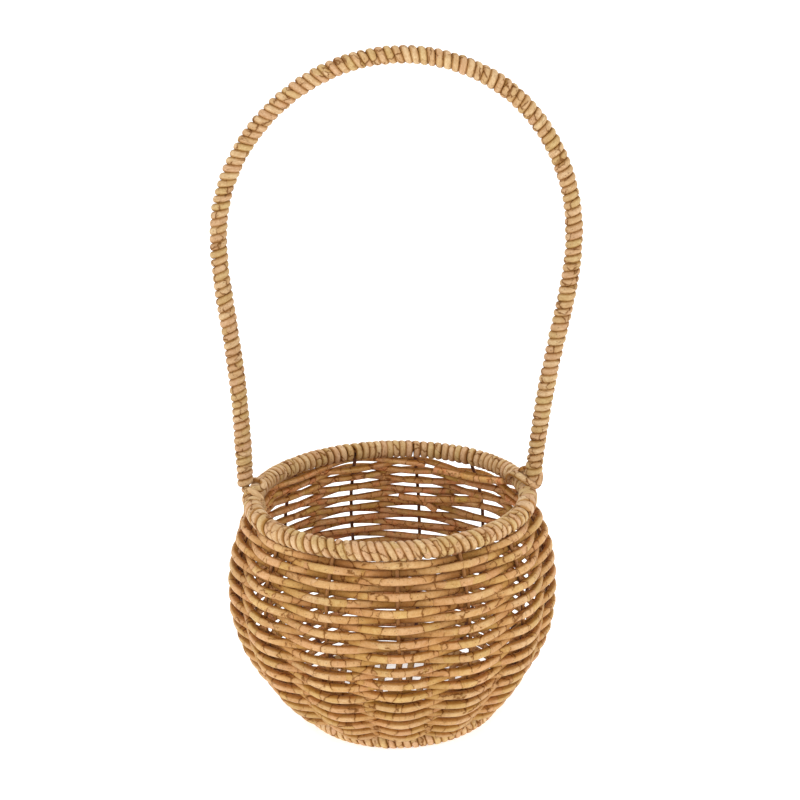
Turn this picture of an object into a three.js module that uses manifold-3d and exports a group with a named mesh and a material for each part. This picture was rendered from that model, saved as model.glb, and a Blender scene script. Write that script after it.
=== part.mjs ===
// Round-bellied basket of paper cord, plain-woven on a frame of iron wire, with a tall wrapped arch handle.
// Millimetres, +Z up. The base ring stands on z = 0 and the handle lies in a plane parallel to XZ.
import * as THREE from "three";
import { mergeVertices } from "three/addons/utils/BufferGeometryUtils.js";
import Module from "manifold-3d";

// ---------------------------------------------------------------- driving dimensions
const BOWL_X = -7; // the bowl's axis; the handle leans to +X, so the whole is centred on X = 0
const HANDLE_Y = 3.5; // the handle's plane, a little behind the bowl's axis

const RIM_R = 74.3; // centre-line radius of the rim hoop
const RIM_Z = 123.6; // its height
const HOOP_R = 1.6; // radius of the hoops' wire
const RIM_WRAP_R = 5.1; // outer radius of the cord wound on the rim hoop
const BASE_X = -4.7; // the base ring sits a little off the bowl's axis
const BASE_R = 52.5; // centre-line radius of the base hoop
const BASE_Z = 4.25;
const BASE_WRAP_R = 4.5;
const WRAP_GAP = 0.3; // air between a hoop and the cord wound on it

const STAKE_R = 1.0; // radius of the upright wires, and of the wires across the floor
const FLOOR_Z = 7.2; // centre height of the wires that cross the floor
// where the thirteen uprights stand, in degrees from +X, seen from above
const STAKE_DEG = [-7.8, 21.5, 50.7, 78.8, 106.3, 136.9, 164.5, 192.2, 219.8, 246.9, 272.1, 297.5, 323.0];
const STAKE_FOOT = [52.5, 8.1]; // each upright starts on top of the base hoop
// the line of the wall, which the uprights follow: radius and height, from beside the base hoop to the rim
const STAKE_LINE = [
  [49.0, FLOOR_Z], [54.2, 8.6], [59.4, 12.8], [64.2, 18.9], [68.7, 25.2],
  [72.8, 31.9], [76.4, 38.8], [79.4, 46.0], [81.7, 53.4], [83.4, 61.0], [84.4, 68.7], [84.7, 76.5],
  [84.2, 84.3], [83.1, 92.0], [81.4, 99.6], [79.1, 107.0], [76.5, 113.9], [74.6, 118.2], [74.3, 121.7],
];
// The bowl isn't quite round. At each height: how much wider it is to the left and right, and how far it sits to +X.
const SWAY = [
  [0, 0, 2.3], [6, 0, 2.3], [10, 0.2, 1.6], [15, 0.8, 0.7], [24, 1.4, 0.4], [34, 1.7, 0.4], [55, 1.1, 0], [77, 0.6, -0.4],
  [98, 1.1, -0.3], [110, 0.7, -0.1], [118, 0, 0], [400, 0, 0],
];
// The wall is one long spiral of cord: outside one upright, inside the next. The uprights are odd in number, so
// each turn lies the other way round from the one above it. Distances run down the wall from the top of the wires.
const CORD_R = 1.8; // radius of the cord on the wall
const CORD_OUT = 3.15; // how far the cord's centre stands off the wire, outside and inside
const COURSE = 3.96; // from one turn of the spiral to the next
const COURSE_TOP = 3.37; // where the spiral would start if the rim weren't in its way
const COURSE_MIN = 5.45; // the closest that the first turn comes to the rim
const COURSE_TIGHT = 3.75; // the closest that two turns lie to each other
const FIRST_STAKE = 3; // the cord starts inside the fourth upright, counted from 0
const LENGTHS = 15; // lengths of cord in the wall, end to end
const LENGTH_GAPS = 26; // gaps between uprights that one length crosses: two turns
const LAST_GAPS = 22; // the last length is shorter
const BUTT = 0.15; // half the air between two lengths

// The floor is one cord laid to and fro from front to back, over one cross wire and under the next.
const FLOOR_CORD_R = 1.7;
const FLOOR_OUT = 3.05;
const FLOOR_WIRES = [41, 17, -7, -31]; // where the cross wires lie, in y
const FLOOR_WIRE_END = 51.0; // they end over the base hoop
const FLOOR_EDGE = 46.3; // the cord turns back inside this radius,
const FLOOR_EDGE_ABOVE = 48.6; // or this one where it lies above the wires
const FLOOR_FIRST = -44.36; // the first row, in x from the base ring's middle
const FLOOR_PITCH = 7.92;
const FLOOR_ROWS = 12;
const FLOOR_TURN = [[0.07, 2.01], [0.27, 3.52], [0.73, 3.52], [0.93, 2.01]]; // a turn, in rows across and millimetres along
const FLOOR_SLANT = 0.122; // the rows run a little to +X towards the back

const ROD_R = 1.35; // radius of the handle's rod
const HANDLE_WRAP_R = 4.65; // outer radius of the cord wound on it
const HANDLE_FOOT_Z = 119.6; // where the rod's two ends stop, beside the rim hoop
const HANDLE_WRAP_Z = 130.5; // where the winding starts
const LASH_HALF_DEG = 7.0; // half the stretch of rim that each lashing covers
const LASH_R = 5.3;
const COLLAR_R = 4.2;
// centre line of the handle, x from the bowl's axis and z
const HANDLE_LINE = [
  [-78.4, 130.5], [-78.6, 161.4], [-79.7, 192.4], [-82.4, 223.3], [-85.0, 254.1], [-82.6, 284.9],
  [-70.3, 313.2], [-49.8, 336.2], [-23.3, 352.0], [6.9, 358.4], [37.4, 354.2], [64.6, 339.8],
  [84.8, 316.5], [96.2, 287.8], [98.4, 257.0], [93.8, 226.4], [87.3, 196.1], [82.0, 165.6], [77.5, 130.5],
];

// ---------------------------------------------------------------- materials
const paperCord = () => new THREE.MeshStandardMaterial({ color: 0xc39a66, roughness: 0.8, metalness: 0.0 });
const wallCord = () => new THREE.MeshStandardMaterial({ color: 0xb98d59, roughness: 0.82, metalness: 0.0 });
const darkWire = () => new THREE.MeshStandardMaterial({ color: 0x2b1d16, roughness: 0.6, metalness: 0.55 });

// ---------------------------------------------------------------- helpers
const DEG = Math.PI / 180;
const polar = (r, a, z) => new THREE.Vector3(BOWL_X + r * Math.cos(a), r * Math.sin(a), z);

// A route of straight stretches, one stretch to each step, with the section kept upright to a given direction.
class Route extends THREE.Curve {
  constructor(points, sideAt, tangentAt = null) {
    super();
    this.points = points;
    this.sideAt = sideAt;
    this.tangentAt = tangentAt;
  }
  getUtoTmapping(u) {
    return u;
  }
  getPoint(t, target = new THREE.Vector3()) {
    const n = this.points.length - 1;
    const s = Math.min(Math.max(t, 0), 1) * n;
    const i = Math.min(Math.floor(s), n - 1);
    return target.lerpVectors(this.points[i], this.points[i + 1], s - i);
  }
  computeFrenetFrames(steps) {
    const tangents = [], normals = [], binormals = [];
    const last = this.points.length - 1;
    for (let i = 0; i <= steps; i++) {
      const a = this.points[Math.max(i - 1, 0)], p = this.points[i], b = this.points[Math.min(i + 1, last)];
      const t = new THREE.Vector3();
      if (i > 0) t.add(p.clone().sub(a).normalize());
      if (i < last) t.add(b.clone().sub(p).normalize());
      t.normalize();
      const given = this.tangentAt && this.tangentAt(i);
      if (given) t.copy(given);
      const n = this.sideAt(i, p).clone();
      n.addScaledVector(t, -n.dot(t)).normalize();
      tangents.push(t);
      normals.push(n);
      binormals.push(new THREE.Vector3().crossVectors(t, n));
    }
    return { tangents, normals, binormals };
  }
}

const circle = (radius, sides, turn = 0) => {
  const s = [];
  for (let i = 0; i < sides; i++) {
    const a = turn + (i / sides) * 2 * Math.PI;
    s.push(new THREE.Vector2(radius * Math.cos(a), radius * Math.sin(a)));
  }
  return s;
};

function sweep(route, section, hole) {
  const shape = new THREE.Shape(section);
  if (hole) shape.holes.push(new THREE.Path(hole));
  return new THREE.ExtrudeGeometry(shape, {
    steps: route.points.length - 1,
    extrudePath: route,
    bevelEnabled: false,
  });
}

// ---------------------------------------------------------------- the surface that the wires stand on
const meridian = new THREE.CatmullRomCurve3(
  STAKE_LINE.slice().reverse().map(([r, z]) => new THREE.Vector3(r, 0, z)),
  false,
  "centripetal",
);
meridian.arcLengthDivisions = 800;
const wallLength = meridian.getLength();
// point and outward normal at a distance down the wall
function wallAt(down) {
  const u = Math.min(down / wallLength, 1);
  const p = meridian.getPointAt(u), t = meridian.getTangentAt(u);
  return { r: p.x, z: p.z, nr: -t.z, nz: t.x };
}

const stakes = STAKE_DEG.map((d) => d * DEG);
const stakeAngle = (k) => {
  const n = stakes.length;
  return stakes[((k % n) + n) % n] + Math.floor(k / n) * 2 * Math.PI;
};

// One point of a woven cord, in the gap after upright k, a share s of the way to the next one. side is 1 where the
// cord leaves upright k outside it, and -1 inside. The corners lie a quarter of the gap from each upright.
function wovenPoint(frame, k, s, side, out) {
  const a0 = stakeAngle(k), a1 = stakeAngle(k + 1);
  const angle = a0 + (a1 - a0) * s;
  const n = s < 0.5 ? side * out : -side * out;
  const near = k + (s < 0.5 ? 0 : 1);
  const widen = 1 / Math.cos((stakeAngle(near + 1) - stakeAngle(near - 1)) / 8);
  const r = (frame.r + n * frame.nr) * widen;
  const z = frame.z + n * frame.nz;
  return { point: polar(r, angle, z), normal: new THREE.Vector3(frame.nr * Math.cos(angle), frame.nr * Math.sin(angle), frame.nz) };
}

// how far down the wall the spiral is after so many gaps: even, but the first turns make room for the rim
function courseAt(gaps) {
  const n = stakes.length, turn = Math.floor(gaps / n), into = gaps - turn * n;
  const push = Math.max(0, COURSE_MIN - COURSE_TOP - (COURSE * into) / n);
  return COURSE_TOP + (COURSE * gaps) / n + Math.max(0, push - turn * (COURSE - COURSE_TIGHT));
}

// One length of the wall's cord. Its ends butt on the next lengths, inside the upright where it starts.
function wallCordGeometry(row) {
  const from = row * LENGTH_GAPS, count = row === LENGTHS - 1 ? LAST_GAPS : LENGTH_GAPS;
  const at = (gap, s) => {
    const f = s < 0.5 ? courseAt(gap) : courseAt(gap + 1);
    return wovenPoint(wallAt(f), FIRST_STAKE + gap, s, gap % 2 === 0 ? -1 : 1, CORD_OUT);
  };
  const all = [];
  for (let i = 0; i < count; i++) all.push(at(from + i, 0.25), at(from + i, 0.75));
  const first = row === 0 ? all[0] : at(from - 1, 0.75), last = at(from + count, 0.25);
  const pts = all.map((q) => q.point), normals = all.map((q) => q.normal);
  const part = (p, q, keep) => {
    const length = p.point.distanceTo(q.point);
    return p.point.clone().lerp(q.point, 0.5 + keep / length);
  };
  if (row > 0) {
    pts.unshift(part(first, all[0], BUTT));
    normals.unshift(first.normal.clone().add(all[0].normal).normalize());
  }
  pts.push(part(all[all.length - 1], last, -BUTT));
  normals.push(last.normal.clone().add(all[all.length - 1].normal).normalize());
  return sweep(new Route(pts, (i) => normals[i]), circle(CORD_R, 5));
}

function stakeGeometry(k) {
  const a = stakes[k];
  const line = STAKE_LINE.filter((_, i) => i === 1 || i === 2 || (i > 2 && i % 2 === 0) || i > 15);
  const pts = [STAKE_FOOT, ...line].map(([r, z]) => polar(r, a, z));
  const side = new THREE.Vector3(-Math.sin(a), Math.cos(a), 0);
  return sweep(new Route(pts, () => side), circle(STAKE_R, 6));
}

// moves a shape with the bowl where that isn't round
function settle(geometry) {
  const p = geometry.attributes.position;
  for (let i = 0; i < p.count; i++) {
    const z = Math.max(p.getZ(i), 0);
    const k = SWAY.findIndex((row) => row[0] > z), lo = SWAY[k - 1], hi = SWAY[k];
    const f = (z - lo[0]) / (hi[0] - lo[0]);
    const widen = lo[1] + (hi[1] - lo[1]) * f, shift = lo[2] + (hi[2] - lo[2]) * f;
    p.setX(i, p.getX(i) + shift + (widen * (p.getX(i) - BOWL_X)) / 85);
  }
  p.needsUpdate = true;
  geometry.computeVertexNormals();
  return geometry;
}

function floorWireGeometry(y) {
  const half = Math.sqrt(FLOOR_WIRE_END ** 2 - y ** 2);
  const pts = [-half, half].map((x) => new THREE.Vector3(BASE_X + x, y, FLOOR_Z));
  return sweep(new Route(pts, () => new THREE.Vector3(0, 1, 0)), circle(STAKE_R, 6));
}

// Where rows row and row + 1 of the floor join, at the back (sign 1) or the front (sign -1): beside the base ring.
// A turn that lies near a cross wire is made above or below it, on the side where the row passes that wire.
function floorTurn(row, sign) {
  const reach = (edge) => {
    const far = [[0, 0], ...FLOOR_TURN, [1, 0]].map(([across, along]) => {
      const c = FLOOR_FIRST + (row + across) * FLOOR_PITCH, q = 1 + FLOOR_SLANT ** 2, b = c * FLOOR_SLANT;
      return (-sign * b + Math.sqrt(b * b - q * (c * c - edge ** 2))) / q - along;
    });
    return sign * Math.min(...far);
  };
  const y = reach(FLOOR_EDGE), wire = FLOOR_WIRES.find((w) => Math.abs(w - y - 2 * sign) < 6.6);
  if (wire === undefined) return { y, level: 0 };
  const side = (FLOOR_WIRES.indexOf(wire) + row) % 2 === 1 ? 1 : -1;
  return { y: reach(side > 0 ? FLOOR_EDGE_ABOVE : FLOOR_EDGE), level: side * FLOOR_OUT, wire };
}
function floorGeometry() {
  const pts = [];
  const add = (row, y, level) =>
    pts.push(new THREE.Vector3(BASE_X + FLOOR_FIRST + row * FLOOR_PITCH + FLOOR_SLANT * y, y, FLOOR_Z + level));
  for (let row = 0; row < FLOOR_ROWS; row++) {
    const sign = row % 2 === 1 ? 1 : -1; // odd rows run to the back
    const start = floorTurn(row === 0 ? 0 : row - 1, -sign), end = floorTurn(row < FLOOR_ROWS - 1 ? row : row - 1, sign);
    add(row, start.y, start.level);
    for (const y of sign > 0 ? [...FLOOR_WIRES].reverse() : FLOOR_WIRES) {
      const side = (FLOOR_WIRES.indexOf(y) + row) % 2 === 1 ? FLOOR_OUT : -FLOOR_OUT;
      const from = sign * (y - start.y), to = sign * (end.y - y);
      if (y === start.wire) add(row, start.y + sign * Math.max(from + 3.5, 2), start.level);
      else if (y === end.wire) add(row, end.y - sign * Math.max(to + 3.5, 2), end.level);
      else if (from > 4.5 && to > 4.5) add(row, y - sign * Math.min(5, from - 2.4), side), add(row, y + sign * Math.min(5, to - 2.4), side);
    }
    add(row, end.y, end.level);
    if (row < FLOOR_ROWS - 1) for (const [across, along] of FLOOR_TURN) add(row + across, end.y + sign * along, end.level);
  }
  return sweep(new Route(pts, () => new THREE.Vector3(0, 0, 1)), circle(FLOOR_CORD_R, 5));
}

// ---------------------------------------------------------------- hoops and the cord wound on them
const FACET = 10 * DEG; // the hoops and everything that follows them share these facets
// a point on the faceted circle, so that what is wound on a hoop nests on it
function onHoop(radius, a, z) {
  const i = Math.floor(a / FACET + 1e-9), f = a / FACET - i;
  const p = polar(radius, i * FACET, z), q = polar(radius, (i + 1) * FACET, z);
  return p.lerp(q, f);
}
function hoopRoute(radius, z, from, to) {
  const angles = [from];
  for (let i = Math.floor(from / FACET) + 1; i * FACET < to - 0.3 * DEG; i++)
    if (i * FACET > from + 0.3 * DEG) angles.push(i * FACET);
  angles.push(to);
  const pts = angles.map((a) => onHoop(radius, a, z));
  return new Route(
    pts,
    (i) => new THREE.Vector3(Math.cos(angles[i]), Math.sin(angles[i]), 0),
    (i) => new THREE.Vector3(-Math.sin(angles[i]), Math.cos(angles[i]), 0),
  );
}
function hoopGeometry(x, radius, z) {
  const g = new THREE.TorusGeometry(radius, HOOP_R, 6, 36);
  g.translate(x, 0, z);
  return g;
}
// the section of the rim's winding: open below, where the uprights come in. x is outwards, y is down along the sweep.
function rimSection() {
  const inner = HOOP_R + WRAP_GAP, half = 1.8, s = [];
  const a0 = Math.asin(half / RIM_WRAP_R), b0 = Math.asin(Math.min(0.95, half / inner));
  const down = Math.PI / 2; // sweep sections have y pointing down when they run anticlockwise round the bowl
  for (let i = 0; i <= 9; i++) {
    const a = down + a0 + ((2 * Math.PI - 2 * a0) * i) / 9;
    s.push(new THREE.Vector2(RIM_WRAP_R * Math.cos(a), RIM_WRAP_R * Math.sin(a)));
  }
  for (let i = 0; i <= 5; i++) {
    const a = down - b0 - ((2 * Math.PI - 2 * b0) * i) / 5 + 2 * Math.PI;
    s.push(new THREE.Vector2(inner * Math.cos(a), inner * Math.sin(a)));
  }
  return s;
}
// the base winding: open above, where the uprights pass over the hoop, and flat below
function baseWrapGeometry() {
  const inner = HOOP_R + WRAP_GAP, top = FLOOR_Z - STAKE_R - 0.3 - BASE_Z, s = []; // under the wires on the hoop
  const a0 = Math.asin(top / BASE_WRAP_R), flat = Math.asin(BASE_Z / BASE_WRAP_R);
  // from the outer top edge down to the flat
  for (let i = 0; i <= 3; i++) s.push([BASE_WRAP_R, a0 + ((-flat - a0) * i) / 3]);
  for (let i = 0; i <= 3; i++) s.push([BASE_WRAP_R, -Math.PI + flat + ((Math.PI - flat - (Math.PI + a0)) * i) / 3]);
  const b0 = Math.asin(Math.min(0.86, top / inner));
  for (let i = 0; i <= 5; i++) s.push([inner, -Math.PI - b0 + ((Math.PI + 2 * b0) * i) / 5]);
  const profile = s.map(([r, a]) => new THREE.Vector2(BASE_R + r * Math.cos(a), Math.max(0, BASE_Z + r * Math.sin(a))));
  profile.push(profile[0].clone());
  const g = new THREE.LatheGeometry(profile.reverse(), 36);
  g.rotateX(Math.PI / 2);
  g.translate(BASE_X, 0, 0);
  return g;
}

// ---------------------------------------------------------------- the handle
const arch = new THREE.CatmullRomCurve3(
  HANDLE_LINE.map(([x, z]) => new THREE.Vector3(BOWL_X + x, HANDLE_Y, z)),
  false,
  "centripetal",
);
const ARCH_STEPS = 40;
const archPoints = arch.getSpacedPoints(ARCH_STEPS);
const handleSide = new THREE.Vector3(0, -1, 0);
const feet = [HANDLE_LINE[0][0], HANDLE_LINE[HANDLE_LINE.length - 1][0]];
function handleCoreGeometry() {
  const down = (x) => new THREE.Vector3(BOWL_X + x, HANDLE_Y, HANDLE_FOOT_Z);
  return sweep(new Route([down(feet[0]), ...archPoints, down(feet[1])], () => handleSide), circle(ROD_R, 6));
}
// the winding starts and ends square above the two lashings
const wrapEnd = (i) => (i === 0 ? new THREE.Vector3(0, 0, 1) : i === ARCH_STEPS ? new THREE.Vector3(0, 0, -1) : null);
const handleWrapGeometry = () =>
  sweep(new Route(archPoints, () => handleSide, wrapEnd), circle(HANDLE_WRAP_R, 8), circle(ROD_R + WRAP_GAP, 6).reverse());

// ---------------------------------------------------------------- lashings, joined and cut as solids
const wasm = await Module();
wasm.setup();
function solid(geometry) {
  const g = geometry.index ? geometry.toNonIndexed() : geometry.clone();
  g.deleteAttribute("normal");
  g.deleteAttribute("uv");
  const m = mergeVertices(g, 1e-3);
  return new wasm.Manifold(
    new wasm.Mesh({ numProp: 3, vertProperties: m.attributes.position.array, triVerts: new Uint32Array(m.index.array) }),
  );
}
function geometryOf(manifold) {
  const mesh = manifold.getMesh();
  const g = new THREE.BufferGeometry();
  g.setAttribute("position", new THREE.BufferAttribute(Float32Array.from(mesh.vertProperties), 3));
  g.setIndex(new THREE.BufferAttribute(Uint32Array.from(mesh.triVerts), 1));
  g.computeVertexNormals();
  return g;
}
const uprightCylinder = (radius, x, y, z0, z1, sides) => {
  const g = new THREE.CylinderGeometry(radius, radius, z1 - z0, sides);
  g.rotateX(Math.PI / 2);
  g.translate(x, y, (z0 + z1) / 2);
  return g;
};
// the cord bound over the rim and round the foot of the handle, with room for the hoop and the rod inside
function lashingGeometry(footX) {
  const centre = Math.atan2(HANDLE_Y, footX);
  const from = centre - LASH_HALF_DEG * DEG, to = centre + LASH_HALF_DEG * DEG;
  const sleeve = solid(sweep(hoopRoute(RIM_R, RIM_Z, from, to), circle(LASH_R, 10)));
  const collar = solid(uprightCylinder(COLLAR_R, BOWL_X + footX, HANDLE_Y, RIM_Z - 1, HANDLE_WRAP_Z - 0.3, 10));
  const hoop = solid(
    sweep(hoopRoute(RIM_R, RIM_Z, from - 2 * DEG, to + 2 * DEG), circle(HOOP_R + WRAP_GAP, 6)),
  );
  const rod = solid(uprightCylinder(ROD_R + WRAP_GAP, BOWL_X + footX, HANDLE_Y, HANDLE_FOOT_Z - 0.3, HANDLE_WRAP_Z + 5, 8));
  return { geometry: geometryOf(sleeve.add(collar).subtract(hoop).subtract(rod)), from, to };
}

// ---------------------------------------------------------------- the basket
const basket = new THREE.Group();
function add(name, geometry, material) {
  const mesh = new THREE.Mesh(geometry, material);
  mesh.name = name;
  basket.add(mesh);
  return mesh;
}

const right = lashingGeometry(feet[1]);
const left = lashingGeometry(feet[0]);
const END = 0.35 * DEG;

add("rim_hoop", hoopGeometry(BOWL_X, RIM_R, RIM_Z), darkWire());
add("rim_wrap_back", sweep(hoopRoute(RIM_R, RIM_Z, right.to + END, left.from - END), rimSection()), paperCord());
add("rim_wrap_front", sweep(hoopRoute(RIM_R, RIM_Z, left.to + END, right.from + 2 * Math.PI - END), rimSection()), paperCord());
add("base_hoop", hoopGeometry(BASE_X, BASE_R, BASE_Z), darkWire());
add("base_wrap", baseWrapGeometry(), paperCord());
FLOOR_WIRES.forEach((y, k) => add(`floor_wire_${k + 1}`, floorWireGeometry(y), darkWire()));
stakes.forEach((_, k) => add(`stake_${String(k + 1).padStart(2, "0")}`, settle(stakeGeometry(k)), darkWire()));
add("floor_cord", floorGeometry(), wallCord());
for (let row = 0; row < LENGTHS; row++)
  add(`wall_cord_${String(row + 1).padStart(2, "0")}`, settle(wallCordGeometry(row)), wallCord());
add("handle_core", handleCoreGeometry(), darkWire());
add("handle_wrap", handleWrapGeometry(), paperCord());
add("lashing_right", right.geometry, paperCord());
add("lashing_left", left.geometry, paperCord());

export default basket;
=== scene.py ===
import math

import bpy
import numpy as np
from mathutils import Matrix, Vector


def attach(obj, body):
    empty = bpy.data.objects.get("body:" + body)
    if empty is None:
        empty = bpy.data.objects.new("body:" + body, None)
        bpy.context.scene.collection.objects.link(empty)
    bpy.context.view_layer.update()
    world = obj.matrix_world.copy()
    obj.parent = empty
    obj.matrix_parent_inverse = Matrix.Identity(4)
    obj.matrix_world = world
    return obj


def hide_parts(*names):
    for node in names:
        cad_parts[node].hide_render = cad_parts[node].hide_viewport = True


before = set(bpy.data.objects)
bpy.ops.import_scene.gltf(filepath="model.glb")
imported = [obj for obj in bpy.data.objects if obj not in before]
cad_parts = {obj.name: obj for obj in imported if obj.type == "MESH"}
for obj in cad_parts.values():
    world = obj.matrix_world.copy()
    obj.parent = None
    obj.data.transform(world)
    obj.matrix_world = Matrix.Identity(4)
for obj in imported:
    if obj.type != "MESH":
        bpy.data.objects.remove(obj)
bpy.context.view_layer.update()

MM = 0.001
TAU = 2 * math.pi

# ------------------------------------------------------------------ the basket's dimensions, in millimetres
BOWL_X, HANDLE_Y = -7.0, 3.5
RIM_R, RIM_Z, HOOP_R = 74.3, 123.6, 1.6
BASE_X, BASE_R, BASE_Z = -4.7, 52.5, 4.25
FLOOR_Z, WIRE_R = 7.2, 1.0
STAKE_DEG = [-7.8, 21.5, 50.7, 78.8, 106.3, 136.9, 164.5, 192.2, 219.8, 246.9, 272.1, 297.5, 323.0]
STAKE_LINE = [
    (49.0, 7.2), (54.2, 8.6), (59.4, 12.8), (64.2, 18.9), (68.7, 25.2), (72.8, 31.9),
    (76.4, 38.8), (79.4, 46.0), (81.7, 53.4), (83.4, 61.0), (84.4, 68.7), (84.7, 76.5), (84.2, 84.3),
    (83.1, 92.0), (81.4, 99.6), (79.1, 107.0), (76.5, 113.9), (74.6, 118.2), (74.3, 121.7),
]
# how much wider the bowl is to the left and right at each height, and how far it sits to +X there
SWAY = np.array([
    (0, 0, 2.3), (6, 0, 2.3), (10, 0.2, 1.6), (15, 0.8, 0.7), (24, 1.4, 0.4), (34, 1.7, 0.4), (55, 1.1, 0), (77, 0.6, -0.4),
    (98, 1.1, -0.3), (110, 0.7, -0.1), (118, 0, 0), (400, 0, 0),
])
COURSE, COURSE_TOP, COURSE_MIN, COURSE_TIGHT = 3.96, 3.37, 5.0, 3.72
FIRST_STAKE, GAPS, LENGTHS, LENGTH_GAPS = 3, 386, 15, 26
CORD_R = 1.93
HANDLE_LINE = [
    (-78.4, 130.5), (-78.6, 161.4), (-79.7, 192.4), (-82.4, 223.3), (-85.0, 254.1), (-82.6, 284.9),
    (-70.3, 313.2), (-49.8, 336.2), (-23.3, 352.0), (6.9, 358.4), (37.4, 354.2), (64.6, 339.8),
    (84.8, 316.5), (96.2, 287.8), (98.4, 257.0), (93.8, 226.4), (87.3, 196.1), (82.0, 165.6), (77.5, 130.5),
]

# ------------------------------------------------------------------ curves and tubes


def unit(v):
    return v / np.maximum(np.linalg.norm(v, axis=-1, keepdims=True), 1e-12)


def spline(t, points):
    """A natural cubic spline through points at parameters t: the shape of a springy cord held at those points."""
    t = np.asarray(t, float)
    p = np.asarray(points, float).reshape(len(t), -1)
    n, h = len(t), np.diff(t)
    a, r = np.zeros((n, n)), np.zeros_like(p)
    a[0, 0] = a[-1, -1] = 1
    i = np.arange(1, n - 1)
    a[i, i - 1], a[i, i], a[i, i + 1] = h[:-1], 2 * (h[:-1] + h[1:]), h[1:]
    r[1:-1] = 6 * (np.diff(p[1:], axis=0) / h[1:, None] - np.diff(p[:-1], axis=0) / h[:-1, None])
    m = np.linalg.solve(a, r)

    def at(q):
        q = np.atleast_1d(np.asarray(q, float))
        k = np.clip(np.searchsorted(t, q, side="right") - 1, 0, n - 2)
        u, v, w = (t[k + 1] - q)[:, None], (q - t[k])[:, None], h[k][:, None]
        return (m[k] * u**3 + m[k + 1] * v**3) / (6 * w) + (p[k] / w - m[k] * w / 6) * u + (p[k + 1] / w - m[k + 1] * w / 6) * v

    return at


def along(points):
    p = np.asarray(points, float)
    return np.concatenate([[0], np.cumsum(np.linalg.norm(np.diff(p, axis=0), axis=1))])


def through(points, step=1.0, count=None):
    """Evenly spaced points on a smooth curve through the given ones."""
    p = np.asarray(points, float)
    f = spline(along(p), p)
    fine = f(np.linspace(0, along(p)[-1], max(200, 12 * len(p))))
    s = along(fine)
    n = count or max(2, int(round(s[-1] / step)) + 1)
    q = np.linspace(0, s[-1], n)
    return np.stack([np.interp(q, s, fine[:, i]) for i in range(3)], 1)


def wobble(x, seed, waves=((9.0, 1.0), (23.0, 0.8), (4.1, 0.5))):
    """Smooth seeded noise of about unit size over a length x."""
    g = np.random.default_rng(seed)
    total = np.zeros_like(np.asarray(x, float))
    for length, size in waves:
        total = total + size * np.sin(TAU * x / (length * g.uniform(0.85, 1.15)) + g.uniform(0, TAU))
    return total / sum(s for _, s in waves)


def lumps(s, th, seed, amp):
    """The unevenness of a twisted paper cord: lengthwise folds that wander, and soft swellings."""
    g = np.random.default_rng(seed)
    f = np.zeros(np.broadcast(s, th).shape)
    for m, length, size in ((0, 19, 0.55), (0, 7.4, 0.4), (1, 13, 0.5), (2, 33, 0.55), (2, 9.1, 0.35), (3, 21, 0.5),
                            (4, 14, 0.35), (5, 26, 0.4), (6, 8.2, 0.2), (8, 17, 0.22)):
        f = f + size * np.sin(m * th + g.choice([-1, 1]) * TAU * s / (length * g.uniform(0.8, 1.2)) + g.uniform(0, TAU))
    return 1 + amp * f


def build(name, verts, quads, tris, uv_q, uv_t, cord, tint, material):
    """A mesh from arrays. verts in millimetres."""
    me = bpy.data.meshes.new(name)
    nv, nq, nt = len(verts), len(quads), len(tris)
    me.vertices.add(nv)
    me.vertices.foreach_set("co", (verts * MM).astype(np.float32).ravel())
    me.loops.add(4 * nq + 3 * nt)
    me.loops.foreach_set("vertex_index", np.concatenate([quads.ravel(), tris.ravel()]).astype(np.int32))
    me.polygons.add(nq + nt)
    me.polygons.foreach_set("loop_start", np.concatenate([np.arange(nq) * 4, 4 * nq + np.arange(nt) * 3]).astype(np.int32))
    me.update(calc_edges=True)
    me.validate()
    me.polygons.foreach_set("use_smooth", np.ones(len(me.polygons), bool))
    layer = me.uv_layers.new(name="OFBake")
    layer.data.foreach_set("uv", np.concatenate([uv_q.reshape(-1, 2), uv_t.reshape(-1, 2)]).astype(np.float32).ravel())
    at = me.attributes.new("cord", "FLOAT_VECTOR", "POINT")
    at.data.foreach_set("vector", cord.astype(np.float32).ravel())
    at = me.attributes.new("tint", "FLOAT_VECTOR", "POINT")
    at.data.foreach_set("vector", tint.astype(np.float32).ravel())
    me.materials.append(material)
    me.update()
    ob = bpy.data.objects.new(name, me)
    bpy.context.scene.collection.objects.link(ob)
    return ob


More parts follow.
